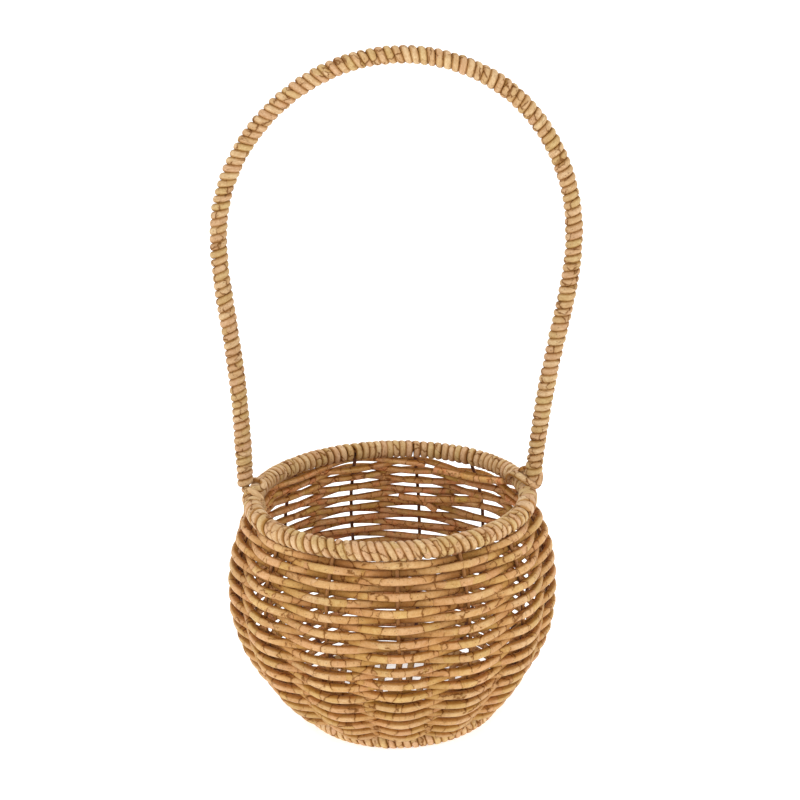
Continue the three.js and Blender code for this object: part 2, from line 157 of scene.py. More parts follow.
def tube_arrays(P, hint, a, b, sides, seed, s0=0.0, amp=0.014, closed=False, tint=(0.0, 0.0, 0.0), twist=0.11, ends=(True, True), flat=0.2, flank=0.72):
    """A cord of half-sizes a (along hint) and b (across) round the points P, with its own lengthwise coordinates.
    flat is how much its four sides are pressed flat, flank where the painted shade on its sides starts."""
    P = np.asarray(P, float)
    n = len(P)
    if closed:
        T = unit(np.roll(P, -1, 0) - np.roll(P, 1, 0))
        s = np.concatenate([along(P), [along(np.vstack([P, P[:1]]))[-1]]])
    else:
        T = unit(np.gradient(P, axis=0))
        s = along(P)
    hint = np.broadcast_to(np.asarray(hint, float), P.shape)
    N = unit(hint - (hint * T).sum(1, keepdims=True) * T)
    B = np.cross(T, N)
    th = np.arange(sides) / sides * TAU
    a = np.broadcast_to(np.asarray(a, float), (n,))[:, None]
    b = np.broadcast_to(np.asarray(b, float), (n,))[:, None]
    ss = s[:n, None] + s0
    f = lumps(ss, th[None, :], seed, amp)
    if closed:
        k = np.clip(np.minimum(np.arange(n), n - np.arange(n)) / 20.0, 0, 1)[:, None]
        f = 1 + (f - 1) * k
    cs, sn = (np.sign(q) * np.abs(q) ** (1 - flat) for q in (np.cos(th).round(9), np.sin(th).round(9)))
    V = P[:, None, :] + (a * f * cs)[..., None] * N[:, None, :] + (b * f * sn)[..., None] * B[:, None, :]
    r0 = float(np.mean(a) + np.mean(b)) / 2
    turn = th[None, :] + twist * ss
    C = np.stack([r0 * np.cos(turn), r0 * np.sin(turn), np.broadcast_to(ss, turn.shape)], -1)
    tint = np.asarray(tint, float)
    K = np.array(np.broadcast_to(tint if tint.ndim == 1 else tint[:, None, :], V.shape))
    K[..., 0] *= np.clip(0.35 - 0.9 * np.cos(th), 0, 1)  # only the side that faces away from hint: painted light on the cords' inner side, painted shade on the wires
    # tint z, painted shade, stays on the side that faces along hint
    K[..., 2] *= np.clip(0.62 + 0.62 * np.cos(th), 0, 1)
    K[..., 2] = np.maximum(K[..., 2], np.clip((np.abs(np.sin(th)) - flank) / 0.24, 0, 1))  # painted shade on the flanks, beside the neighbours
    rings = n if closed else n - 1
    i, j = np.meshgrid(np.arange(rings), np.arange(sides), indexing="ij")
    i2, j2 = (i + 1) % n, (j + 1) % sides
    quads = np.stack([i * sides + j, i * sides + j2, i2 * sides + j2, i2 * sides + j], -1).reshape(-1, 4)
    around = math.pi * (float(np.mean(a)) + float(np.mean(b)))
    rows = max(1, int(round(math.sqrt(s[-1] / around))))
    per = math.ceil(rings / rows)
    row, loc = i // per, i % per
    u0, u1 = 0.012 + 0.976 * loc / per, 0.012 + 0.976 * (loc + 1) / per
    v0, v1 = (row + 0.06 + 0.88 * j / sides) / rows, (row + 0.06 + 0.88 * (j + 1) / sides) / rows
    uv = np.stack([np.stack([u0, v0], -1), np.stack([u0, v1], -1), np.stack([u1, v1], -1), np.stack([u1, v0], -1)], 2).reshape(-1, 4, 2)
    verts, cord, tints = [V.reshape(-1, 3)], [C.reshape(-1, 3)], [K.reshape(-1, 3)]
    extra, tris, uvt = [], [], []
    base = n * sides
    if not closed:
        for end, on in ((0, ends[0]), (n - 1, ends[1])):
            if not on:
                continue
            sign = -1 if end == 0 else 1
            ring = P[end] + (V[end] - P[end]) * 0.82 + sign * T[end] * 0.22
            tip = P[end] + sign * T[end] * 0.30
            verts += [ring, tip[None]]
            cord += [C[end] * np.array([0.8, 0.8, 1]) + [0, 0, sign * 0.3], np.array([[0, 0, C[end, 0, 2] + sign * 1.0]])]
            tints += [K[end], K[end][:1]]
            k = np.arange(sides)
            k2 = (k + 1) % sides
            q = np.stack([end * sides + k, end * sides + k2, base + k2, base + k], -1)
            t = np.stack([base + k, base + k2, np.full(sides, base + sides)], -1)
            if sign < 0:
                q, t = q[:, ::-1], t[:, ::-1]
            extra.append(q)
            tris.append(t)
            x = 0.006 if end == 0 else 0.994
            uv = np.concatenate([uv, np.tile(np.array([[[x, 0.5 / rows]] * 4]), (sides, 1, 1)) + np.array([[0, 0], [0, 1e-3], [1e-3, 1e-3], [1e-3, 0]])])
            uvt.append(np.tile(np.array([[[x, 0.3 / rows]] * 3]), (sides, 1, 1)) + np.array([[0, 0], [0, 1e-3], [1e-3, 1e-3]]))
            base += sides + 1
    quads = np.concatenate([quads] + extra)
    tris = np.concatenate(tris) if tris else np.zeros((0, 3), int)
    uvt = np.concatenate(uvt) if uvt else np.zeros((0, 3, 2))
    return [np.concatenate(verts), quads, tris, uv, uvt, np.concatenate(cord), np.concatenate(tints)]


def join(parts):
    """Several tubes as one mesh, their map strips laid out side by side."""
    out, base = None, 0
    n = len(parts)
    cols = math.ceil(math.sqrt(n))
    size = 1.0 / cols
    for k, p in enumerate(parts):
        v, q, t, uq, ut, c, ti = p
        shift = np.array([(k % cols) * size, (k // cols) * size])
        item = [v, q + base, t + base, uq * size * 0.98 + shift, ut * size * 0.98 + shift, c, ti]
        base += len(v)
        out = [[x] for x in item] if out is None else [o + [x] for o, x in zip(out, item)]
    return [np.concatenate(x) for x in out]


def piece(name, arrays, material, nodes=()):
    ob = build(name, *arrays, material)
    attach(ob, "root")
    if nodes:
        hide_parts(*([nodes] if isinstance(nodes, str) else nodes))
    return ob


# ------------------------------------------------------------------ materials


class Tree:
    """Small helper that adds nodes and links them."""

    def __init__(self, name):
        self.mat = bpy.data.materials.new(name)
        self.mat.use_nodes = True
        self.nt = self.mat.node_tree
        self.nt.nodes.clear()

    def node(self, kind, inputs=None, **props):
        n = self.nt.nodes.new(kind)
        for k, v in props.items():
            setattr(n, k, v)
        for k, v in (inputs or {}).items():
            if isinstance(v, bpy.types.NodeSocket):
                self.nt.links.new(v, n.inputs[k])
            else:
                n.inputs[k].default_value = v
        return n

    def math(self, op, a, b=None, clamp=False):
        n = self.node("ShaderNodeMath", {0: a} if b is None else {0: a, 1: b}, operation=op, use_clamp=clamp)
        return n.outputs[0]

    def vec(self, op, a, b=None):
        n = self.node("ShaderNodeVectorMath", {0: a} if b is None else {0: a, 1: b}, operation=op)
        return n.outputs[0]

    def remap(self, v, lo, hi, to_lo=0.0, to_hi=1.0, smooth=True):
        n = self.node("ShaderNodeMapRange", {"Value": v, "From Min": lo, "From Max": hi, "To Min": to_lo, "To Max": to_hi},
                      interpolation_type="SMOOTHSTEP" if smooth else "LINEAR")
        return n.outputs["Result"]

    def mix(self, fac, a, b, blend="MIX"):
        n = self.node("ShaderNodeMix", {0: fac, 6: a, 7: b}, data_type="RGBA", blend_type=blend)
        return n.outputs[2]

    def noise(self, vec, scale, detail=2.0, rough=0.5, dims="3D"):
        n = self.node("ShaderNodeTexNoise", {"Vector": vec, "Scale": scale, "Detail": detail, "Roughness": rough}, noise_dimensions=dims)
        return n


def rgb(r, g, b):
    return (r, g, b, 1.0)


def paper_cord(name, tan, pink, green, light, brown, crack=(0.155, 0.058, 0.013), rough=0.66):
    """Paper cord printed like dried water plants: patches of tan, pink and yellow-green between thin dark cracks."""
    t = Tree(name)
    co = t.node("ShaderNodeAttribute", attribute_name="cord").outputs["Vector"]
    tint = t.node("ShaderNodeAttribute", attribute_name="tint").outputs["Vector"]
    parts = t.node("ShaderNodeSeparateXYZ", {0: tint})
    # the cracks follow cells that are wider than the cord is thick, so most of them run across it
    jag = t.noise(co, 0.55, 2.0, 0.55).outputs["Color"]
    off = t.vec("SCALE", t.vec("SUBTRACT", jag, (0.5, 0.5, 0.5)))
    off.node.inputs["Scale"].default_value = 2.2
    warped = t.vec("ADD", co, off)
    cells = t.vec("MULTIPLY", warped, (0.50, 0.50, 0.80))
    big = t.node("ShaderNodeTexVoronoi", {"Vector": cells, "Scale": 0.135}, feature="DISTANCE_TO_EDGE").outputs["Distance"]
    pick = t.node("ShaderNodeTexVoronoi", {"Vector": cells, "Scale": 0.135}, feature="F1").outputs["Color"]
    which = t.node("ShaderNodeSeparateColor", {0: pick})
    fine = t.node("ShaderNodeTexVoronoi", {"Vector": warped, "Scale": 0.21}, feature="DISTANCE_TO_EDGE").outputs["Distance"]
    fade = t.noise(co, 0.28, 2.0, 0.5).outputs["Fac"]
    width = t.remap(fade, 0.34, 0.66, 0.018, 0.050)
    line = t.node("ShaderNodeMapRange", {"Value": big, "From Min": 0.0, "From Max": width, "To Min": 1.0, "To Max": 0.0}, interpolation_type="SMOOTHSTEP").outputs["Result"]
    line = t.math("MULTIPLY", line, t.remap(fade, 0.36, 0.54, 0.15, 1.0))
    few = t.noise(co, 0.17, 2.0, 0.5).outputs["Fac"]
    thin = t.remap(fine, 0.0, 0.060, 1.0, 0.0)
    thin = t.math("MULTIPLY", thin, t.remap(few, 0.58, 0.68))
    fleck_n = t.noise(t.vec("MULTIPLY", co, (1.0, 1.0, 1.7)), 0.95, 2.0, 0.6).outputs["Fac"]
    fleck = t.math("MULTIPLY", t.remap(fleck_n, 0.68, 0.74), t.remap(few, 0.46, 0.62))
    cracks = t.math("MAXIMUM", line, t.math("MAXIMUM", t.math("MULTIPLY", thin, 0.55), t.math("MULTIPLY", fleck, 0.8)))
    dots = t.node("ShaderNodeTexVoronoi", {"Vector": t.vec("MULTIPLY", co, (1.0, 1.0, 0.7)), "Scale": 0.95}, feature="F1")
    keep = t.remap(t.node("ShaderNodeSeparateColor", {0: dots.outputs["Color"]}).outputs[0], 0.62, 0.70)
    pits = t.math("MULTIPLY", t.remap(dots.outputs["Distance"], 0.16, 0.30, 1.0, 0.0), keep)
    # patches of colour, one for each cell, and slow drifts along the cord
    drift = t.noise(co, 0.045, 2.0, 0.5).outputs["Fac"]
    colour = t.mix(t.remap(which.outputs[0], 0.25, 0.75), rgb(*tan), rgb(*pink))
    colour = t.mix(t.math("MULTIPLY", t.remap(which.outputs[1], 0.62, 0.72), 0.80), colour, rgb(*green))
    colour = t.mix(t.math("MULTIPLY", t.remap(which.outputs[2], 0.60, 0.90), 0.70), colour, rgb(*light))
    colour = t.mix(t.remap(drift, 0.52, 0.70, 0.0, 0.50), colour, rgb(*green))
    colour = t.mix(t.remap(drift, 0.46, 0.30, 0.0, 0.50), colour, rgb(*pink))
    streak_v = t.vec("MULTIPLY", co, (2.6, 2.6, 0.22))
    streak = t.noise(streak_v, 0.8, 3.0, 0.6).outputs["Fac"]
    colour = t.mix(t.remap(streak, 0.30, 0.72, 0.24, 0.0), colour, rgb(*brown))
    soft = t.noise(co, 0.5, 2.0, 0.55).outputs["Fac"]
    colour = t.mix(t.remap(soft, 0.60, 0.38, 0.0, 0.34), colour, rgb(*brown))
    mottle = t.noise(co, 1.5, 3.0, 0.65).outputs["Fac"]
    colour = t.mix(t.remap(mottle, 0.56, 0.40, 0.0, 0.26), colour, rgb(*brown))
    colour = t.mix(t.remap(mottle, 0.56, 0.70, 0.0, 0.30), colour, rgb(*light))
    colour = t.mix(t.math("MULTIPLY", pits, 0.55), colour, rgb(*crack))
    # a darker, redder stain that the printing leaves beside each crack
    halo = t.math("MULTIPLY", t.remap(big, 0.0, 0.15, 0.36, 0.0), t.remap(fade, 0.34, 0.60))
    colour = t.mix(halo, colour, rgb(*brown))
    colour = t.mix(t.math("MULTIPLY", cracks, 0.90), colour, rgb(*crack))
    # painted shade: the flanks beside the neighbouring cords and the under-passes at the wires are darkened towards a
    # deep brown
    flank_shade = t.mix(1.0, colour, rgb(0.61, 0.42, 0.17), "MULTIPLY")
    colour = t.mix(t.math("MULTIPLY", parts.outputs[2], 0.85), colour, flank_shade)
    # painted light inside the bowl: the side that faces in is made brighter, redder in some patches and yellower in
    # others
    inner = t.mix(t.remap(few, 0.50, 0.64), rgb(1.36, 1.25, 1.32), rgb(1.46, 1.02, 0.98))
    inner = t.mix(t.remap(drift, 0.52, 0.62), inner, rgb(1.26, 1.34, 0.82))
    inner = t.mix(1.0, colour, inner, "MULTIPLY")
    colour = t.mix(parts.outputs[0], colour, inner)
    # tint y scales the colour: a slow random tone on the wall cord, and painted light and shade given per piece, such
    # as the lighter base winding and the darker handle legs
    tone_and_light = t.math("ADD", t.math("MULTIPLY", parts.outputs[1], 0.22), 1.0)
    colour = t.mix(1.0, colour, t.node("ShaderNodeCombineColor", {0: tone_and_light, 1: tone_and_light, 2: tone_and_light}).outputs[0], "MULTIPLY")
    grain = t.noise(t.vec("MULTIPLY", co, (1.0, 1.0, 0.30)), 2.3, 3.0, 0.6).outputs["Fac"]
    crease = t.noise(t.vec("MULTIPLY", co, (1.0, 1.0, 0.10)), 1.15, 2.0, 0.5).outputs["Fac"]
    height = t.math("ADD", t.math("MULTIPLY", crease, 0.9), t.math("MULTIPLY", grain, 0.30))
    height = t.math("SUBTRACT", height, t.math("MULTIPLY", t.math("MAXIMUM", cracks, pits), 0.45))
    bump = t.node("ShaderNodeBump", {"Strength": 0.55, "Distance": 0.00042, "Height": height})
    rr = t.math("ADD", t.math("MULTIPLY", grain, 0.16), t.math("MULTIPLY", cracks, 0.14))
    rr = t.math("ADD", rr, rough - 0.10, clamp=True)
    bsdf = t.node("ShaderNodeBsdfPrincipled", {"Base Color": colour, "Roughness": rr, "Normal": bump.outputs[0]})
    # cracks, flanks and the inside hold no sheen
    hollow = t.math("MAXIMUM", t.math("MAXIMUM", parts.outputs[2], parts.outputs[0]), cracks, clamp=True)
    t.nt.links.new(t.remap(hollow, 0.0, 1.0, 0.30, 0.04, smooth=False), bsdf.inputs["Specular IOR Level"])
    t.nt.links.new(t.remap(hollow, 0.0, 1.0, 0.06, 0.0, smooth=False), bsdf.inputs["Sheen Weight"])
    bsdf.inputs["Sheen Roughness"].default_value = 0.5
    out = t.node("ShaderNodeOutputMaterial")
    t.nt.links.new(bsdf.outputs[0], out.inputs["Surface"])
    return t.mat


def iron_wire(name):
    """Dark brown lacquered wire, a little rusty, with painted shade: darker on the side that faces away from its hint
    (inward on the uprights, underneath on the hoops) and lighter on the other side.
    """
    t = Tree(name)
    co = t.node("ShaderNodeTexCoord").outputs["Object"]
    tint = t.node("ShaderNodeSeparateXYZ", {0: t.node("ShaderNodeAttribute", attribute_name="tint").outputs["Vector"]})
    n1 = t.noise(co, 260.0, 4.0, 0.6).outputs["Fac"]
    n2 = t.noise(co, 1500.0, 3.0, 0.6).outputs["Fac"]
    inner_shade = t.mix(t.remap(n1, 0.35, 0.68), rgb(0.085, 0.032, 0.020), rgb(0.170, 0.070, 0.038))
    outer_colour = t.mix(t.remap(n1, 0.32, 0.62), rgb(0.215, 0.080, 0.018), rgb(0.330, 0.145, 0.036))
    # painted shade: the side that tint x marks gets the darker colour, the rest the lighter one
    colour = t.mix(t.remap(tint.outputs[0], 0.05, 0.75), outer_colour, inner_shade)
    colour = t.mix(t.remap(n2, 0.56, 0.70, 0.0, 0.35), colour, rgb(0.38, 0.19, 0.07))
    rr = t.remap(n1, 0.3, 0.7, 0.42, 0.60)
    bump = t.node("ShaderNodeBump", {"Strength": 0.30, "Distance": 0.0001, "Height": n2})
    bsdf = t.node("ShaderNodeBsdfPrincipled", {"Base Color": colour, "Roughness": rr, "Normal": bump.outputs[0]})
    bsdf.inputs["Metallic"].default_value = 0.20
    bsdf.inputs["Specular IOR Level"].default_value = 0.35
    out = t.node("ShaderNodeOutputMaterial")
    t.nt.links.new(bsdf.outputs[0], out.inputs["Surface"])
    return t.mat


WALL = paper_cord("paper_cord_wall", (0.562, 0.345, 0.146), (0.568, 0.330, 0.163), (0.530, 0.363, 0.125), (0.614, 0.420, 0.216), (0.390, 0.171, 0.034))
WOUND = paper_cord("paper_cord_wound", (0.562, 0.373, 0.186), (0.572, 0.359, 0.204), (0.528, 0.384, 0.158), (0.686, 0.505, 0.291), (0.360, 0.176, 0.052))
WIRE = iron_wire("dark_wire")

# ------------------------------------------------------------------ the wall surface
line_up = np.array(STAKE_LINE[::-1], float)  # from the rim down
_s = along(line_up)
_f = spline(_s, line_up)
_fine = np.linspace(0, _s[-1], 1200)
_prof = _f(_fine)
_arc = along(_prof)


def wall_at(d):
    """Radius, height and outward normal at distances d down the wall."""
    d = np.asarray(d, float)
    r, z = np.interp(d, _arc, _prof[:, 0]), np.interp(d, _arc, _prof[:, 1])
    e = 0.8
    tr = np.interp(d + e, _arc, _prof[:, 0]) - np.interp(d - e, _arc, _prof[:, 0])
    tz = np.interp(d + e, _arc, _prof[:, 1]) - np.interp(d - e, _arc, _prof[:, 1])
    ln = np.hypot(tr, tz)
    return r, z, -tz / ln, tr / ln


def polar(r, ang, z):
    return np.stack([BOWL_X + r * np.cos(ang), r * np.sin(ang), np.broadcast_to(z, np.shape(r * np.cos(ang)))], -1)


STAKES = np.radians(STAKE_DEG)


def settle(p):
    """Moves points with the bowl where that isn't round."""
    p = np.array(p, float)
    z = np.clip(p[..., 2], 0, 399)
    widen, shift = np.interp(z, SWAY[:, 0], SWAY[:, 1]), np.interp(z, SWAY[:, 0], SWAY[:, 2])
    p[..., 0] += shift + widen * (p[..., 0] - BOWL_X) / 85
    return p



def stake_angle(k):
    k = np.asarray(k)
    return STAKES[k % 13] + (k // 13) * TAU


def course_at(g):
    g = np.asarray(g, float)
    turn = np.floor(g / 13)
    push = np.maximum(0, COURSE_MIN - COURSE_TOP - COURSE * (g - 13 * turn) / 13)
    return COURSE_TOP + COURSE * g / 13 + np.maximum(0, push - turn * (COURSE - COURSE_TIGHT))


# ------------------------------------------------------------------ the wall: one spiral of cord
gen = np.random.default_rng(41)
gi = np.arange(-1, GAPS + 2)
side = np.where(gi % 2 == 0, -1.0, 1.0)
level = course_at(np.maximum(gi, 0)) + np.where(gi < 0, -0.3, 0)
# small unevenness: each turn wanders a little, and takes its neighbours along
turnwise = gi / 13.0
ang = stake_angle(FIRST_STAKE + gi)
level = level + 0.34 * np.sin(ang * 2 + turnwise * 0.55) + 0.22 * np.sin(ang * 3 - turnwise * 0.8 + 1.0) + gen.normal(0, 0.13, len(gi))
deg = np.degrees(ang) % 360


def ramp(x, lo, hi):
    x = np.clip((x - lo) / (hi - lo), 0, 1)
    return x * x * (3 - 2 * x)


# at the back left the turns lie a little higher and closer, and below the splice at the back they are pressed down
back = ramp(deg, 50, 104) * (1 - ramp(deg, 165, 200))
back = back * (1 - ramp(level, 78, 116))
level = level * (1 - 0.03 * back) - 1.0 * back * ramp(level, 3, 22)
level = level + 0.8 * np.exp(-(((deg - 79) / 13) ** 2)) * ramp(level, 29, 38) * (1 - ramp(level, 70, 100))
level = level + 0.7 * np.exp(-(((deg - 50) / 15) ** 2)) * ramp(level, 5, 14) * (1 - ramp(level, 60, 90))
# low down at the back the turns are pressed towards the base ring
level = level + 0.9 * np.exp(-(((deg - 88) / 18) ** 2)) * ramp(level, 50, 60)
level = level + 1.9 * ramp(deg, 0, 35) * (1 - ramp(deg, 145, 185)) * ramp(level, 96, 119)
level[: 14] = np.maximum(level[: 14], course_at(np.arange(14)) - 0.15)
stand = np.where(side > 0, 2.98, -3.02) + gen.normal(0, 0.10, len(gi))
r_, z_, nr_, nz_ = wall_at(level)
ctrl = settle(polar(r_ + stand * nr_, ang, z_ + stand * nz_))
knots = along(ctrl)
wall_curve = spline(knots, ctrl)
hint_ctrl = np.stack([nr_ * np.cos(ang), nr_ * np.sin(ang), nz_], -1)
hint_curve = spline(knots, hint_ctrl)
STEP = 1.25


def spliced(points, seed):
    """A short end of cord that lies against the inside of the wall. points: distance down, azimuth, distance out."""
    s, az, off = np.array(points, float).T
    az = np.radians(az)
    r, z, nr, nz = wall_at(s)
    P = through(settle(polar(r + off * nr, az, z + off * nz)), step=1.0)
    inward = np.stack([-np.cos(np.interp(np.linspace(0, 1, len(P)), np.linspace(0, 1, len(az)), az)),
                       -np.sin(np.interp(np.linspace(0, 1, len(P)), np.linspace(0, 1, len(az)), az)), np.zeros(len(P))], -1)
    # tint: the inner side gets the painted light of the bowl's inside, and y makes the end a little lighter
    return tube_arrays(P, -inward, 1.80, 1.95, 16, seed, s0=seed * 7.0, tint=(0.6, 0.5, 0.0), twist=0.05)


# cord ends inside the back: under the rim, and where a new length was laid in
SPLICES = {
    0: [[(7.2, 69.0, -4.6), (7.0, 61.5, -5.4), (6.6, 51.0, -6.2), (4.6, 36.0, -5.2), (3.2, 27.0, -3.0)]],
    3: [[(30.0, 86.5, -4.8), (30.8, 77.5, -5.8), (30.2, 68.5, -5.6), (28.6, 58.5, -4.2), (27.2, 50.0, -1.5)],
        [(31.8, 80.5, -3.6), (33.2, 75.5, -5.4), (36.0, 72.6, -5.6), (38.8, 70.8, -5.0)]],
}
for row in range(LENGTHS):
    g0 = row * LENGTH_GAPS
    g1 = min(g0 + LENGTH_GAPS, GAPS)
    k0, k1 = knots[g0 + 1], knots[g1 + 1]
    extra0 = 0.0 if row else 6.0
    extra1 = 7.0 if row == LENGTHS - 1 else 0.0
    n = int((k1 - k0 + extra0 + extra1) / STEP) + 1
    q = np.linspace(k0 - extra0, k1 + extra1, n)
    P, H = wall_curve(q), unit(hint_curve(q))
    # flattened a little where it is pressed between its neighbours, rounder where it passes a wire
    gq = np.interp(q, knots, gi)
    mid = 0.5 - 0.5 * np.cos(TAU * gq)
    where = np.degrees(np.interp(q, knots, ang)) % 360
    ahead, behind = (np.clip(np.cos(np.radians(where - d)) * 2, 0, 1) for d in (270, 82))
    rho = CORD_R + 0.05 * ahead - 0.12 * behind
    a = rho * (1.0 + 0.035 * mid) * (1 + 0.02 * wobble(q, 900))
    b = rho * (1.0 - 0.010 * mid + (0.08 * ahead - 0.06 * behind) * (1 - mid)) * (1 + 0.02 * wobble(q, 901))
    inner = np.clip(0.5 + 0.5 * np.cos(math.pi * gq), 0, 1)  # 1 where it passes inside a wire
    tone = wobble(q, 77, ((60, 1.0), (260, 1.0), (23, 0.4)))
    # tint x: painted light on the side facing into the bowl; y: slow random tone, plus a little painted light where the
    # cord passes inside a wire; z: painted shade on those passes
    tint = np.stack([np.full_like(q, 0.60), 0.35 * tone + 0.10 * inner, 0.90 * inner], -1)
    arr = tube_arrays(P, H, a, b, 16, 500 + row, s0=q[0], tint=tint, ends=(row == 0, row == LENGTHS - 1), twist=0.05)
    if row in SPLICES:
        arr = join([arr] + [spliced(pts, 600 + 10 * row + k) for k, pts in enumerate(SPLICES[row])])
    piece(f"wall_strand_{row + 1:02d}", arr, WALL, f"wall_cord_{row + 1:02d}")

# ------------------------------------------------------------------ windings on the rim, the base and the handle


def wound(centre, out, up, marks, rho, a, b, sides, seed, samples=26, slant=0.0, face=0.0, hand=1.0, jitter=0.05, loose=0.0, **kw):
    """A cord wound on a core. centre(u), out(u), up(u) give the core's line and its cross directions at a length u,
    and marks the lengths at which the turns start, below the core. rho, a, b and slant may depend on u."""
    g = np.random.default_rng(seed)
    turns = len(marks) - 1
    before, after = kw.pop("more", (0.0, 0.0))
    tau = np.linspace(-before, turns + after, turns * samples + 1)
    phi = -math.pi / 2 + hand * TAU * tau
    u = np.interp(tau, np.arange(turns + 1), marks)
    at = lambda v: v(u) if callable(v) else v
    each = lambda size: np.interp(tau, np.arange(turns + 2) - 0.25, g.normal(0, 1, turns + 2).clip(-2, 2)) * size
    lean = at(slant) * (1 + 0.3 * wobble(tau, seed + 5, ((5.3, 1), (13.7, 1))) + each(3.5 * loose))
    rr = at(rho) * (1 + 0.015 * wobble(tau, seed + 1, ((1.9, 1.0), (3.7, 1.0), (7.1, 0.8))) + each(loose))
    wide = at(b) * (1 + 0.03 * wobble(tau, seed + 2, ((1.6, 1.0), (4.3, 1.0))) + each(loose))
    u = u + lean * np.sin(phi - face) + jitter * wobble(tau, seed + 3, ((2.3, 1.0), (5.9, 1.2), (1.27, 0.5)))
    C, O, U = centre(u), out(u), up(u)
    R = np.cos(phi)[:, None] * O + np.sin(phi)[:, None] * U
    P = C + rr[:, None] * R
    return tube_arrays(P, R, at(a), wide, sides, seed, tint=at(kw.pop("tint", (0.0, 0.0, 0.0))), **kw), P


def hoop_frame(radius, z, x=BOWL_X):
    def centre(u):
        return polar(radius, u / radius, z) + [x - BOWL_X, 0, 0]

    def out(u):
        return np.stack([np.cos(u / radius), np.sin(u / radius), np.zeros_like(u)], -1)

    def up(u):
        return np.broadcast_to([0.0, 0.0, 1.0], (len(u), 3))

    return centre, out, up


RIM_HALF_T, RIM_RHO, RIM_PITCH = 1.74, 3.36, 4.02
centre, out, up = hoop_frame(RIM_R, RIM_Z)
LEFT_FOOT, RIGHT_FOOT = math.atan2(HANDLE_Y, HANDLE_LINE[0][0]), math.atan2(HANDLE_Y, HANDLE_LINE[-1][0])
LASH = math.radians(7.0)
# how wide the winding opens at each wire's top, and the stretches (degrees along the rim) that are wound differently:
# from, to, pitch, lean, thickness
OPEN = {10: 2.6, 11: 1.9, 12: 2.5, 3: 2.9, 4: 2.5, 5: 2.9}
STRETCHES = [
    (187, 221, 7.2, -0.3, 1.35), (221, 240, 4.10, -0.35, 1.78), (240, 300, 4.16, -1.45, 1.84), (300, 336, 4.10, -1.0, 1.78),
    (336, 356, 9.5, -0.7, 1.35), (5, 40, 3.95, -0.6, 1.74), (40, 75, 4.2, -1.1, 1.74), (75, 110, 3.95, -1.3, 1.74),
    (110, 140, 4.1, -0.5, 1.74), (140, 178, 3.9, -0.9, 1.7),
]


def stretch(u, item):
    """A value along the rim, from the stretches, with short passages between them."""
    d = np.degrees(np.asarray(u) / RIM_R) % 360
    total, weight = 0.0, 0.0
    for s in STRETCHES:
        w = 1 / (1 + np.exp(-(d - s[0]) / 0.8)) / (1 + np.exp((d - s[1]) / 0.8)) + 1e-9
        total, weight = total + w * s[item], weight + w
    return total / weight


def rim_turns(a_from, a_to):
    """Lengths along the rim at each turn's lowest point, leaving room for the tops of the wires."""
    u0, u1 = a_from * RIM_R, a_to * RIM_R
    stops = [u0]
    for k in range(-13, 27):
        c, gap = stake_angle(k) * RIM_R, OPEN.get(k % 13 + 1, 2.3)
        if u0 + 4 < c < u1 - 4:
            stops += [c - gap, c + gap]
    stops.append(u1)
    marks = []
    for i in range(0, len(stops), 2):
        lo, hi = stops[i], stops[i + 1]
        fine = np.linspace(lo, hi, 200)
        count = np.concatenate([[0], np.cumsum(np.diff(fine) / stretch((fine[1:] + fine[:-1]) / 2, 2))])
        m = max(1, int(round(count[-1])))
        marks += list(np.interp(np.linspace(0, count[-1], m + 1), count, fine))
    return np.array(marks)


def add_rim(name, a_from, a_to, node, seed):
    marks = rim_turns(a_from, a_to)
    # the turns lean: going down the outside they run to the right as seen from the front
    arr, P = wound(centre, out, up, marks, lambda u: 5.12 - stretch(u, 4), lambda u: stretch(u, 4),
                   lambda u: 0.12 + 0.48 * stretch(u, 2), 14, seed, samples=30, slant=lambda u: stretch(u, 3),
                   face=math.radians(40), hand=-1.0, loose=0.035, s0=seed * 10.0, amp=0.018, twist=0.12, flat=0.08, flank=0.59)
    return piece(name, arr, WOUND, node)


add_rim("rim_winding_back", RIGHT_FOOT + LASH, LEFT_FOOT - LASH, "rim_wrap_back", 21)
add_rim("rim_winding_front", LEFT_FOOT + LASH - 0.0, RIGHT_FOOT - LASH + TAU, "rim_wrap_front", 22)

bc, bo, bu = hoop_frame(BASE_R, BASE_Z, BASE_X)
turns = int(round(TAU * BASE_R / 3.92))
# tint y lifts the base winding's colour: painted light, for the light from the floor below
arr, P = wound(bc, bo, bu, np.linspace(0, TAU * BASE_R, turns + 1), 3.02, 1.36, 1.98, 12, 31, samples=26,
               slant=-0.35, face=0.0, hand=-1.0, loose=0.03, s0=900.0, amp=0.016, twist=0.12, flank=0.64, tint=(0.0, 1.0, 0.0))
arr[0][:, 2] = np.maximum(arr[0][:, 2], 0.0)
piece("base_winding", arr, WOUND, "base_wrap")

arch_pts = np.array([[BOWL_X + x, HANDLE_Y, z] for x, z in HANDLE_LINE])
arch = through(arch_pts, count=900)
# at the right foot the winding goes on down to the rim
arch_long = np.vstack([arch, arch[-1] + 5.0 * unit(arch[-1] - arch[-2])])
arch_s = along(arch_long)
arch_t = unit(np.gradient(arch_long, axis=0))


def arch_centre(u):
    return np.stack([np.interp(u, arch_s, arch_long[:, i]) for i in range(3)], -1)


def arch_out(u):
    return np.broadcast_to([0.0, -1.0, 0.0], (len(u), 3))


def arch_up(u):
    t = unit(np.stack([np.interp(u, arch_s, arch_t[:, i]) for i in range(3)], -1))
    return np.cross(t, np.broadcast_to([0.0, -1.0, 0.0], t.shape))


H_PITCH = 4.1
h_turns = int(round((arch_s[-1] - 4.2) / H_PITCH))
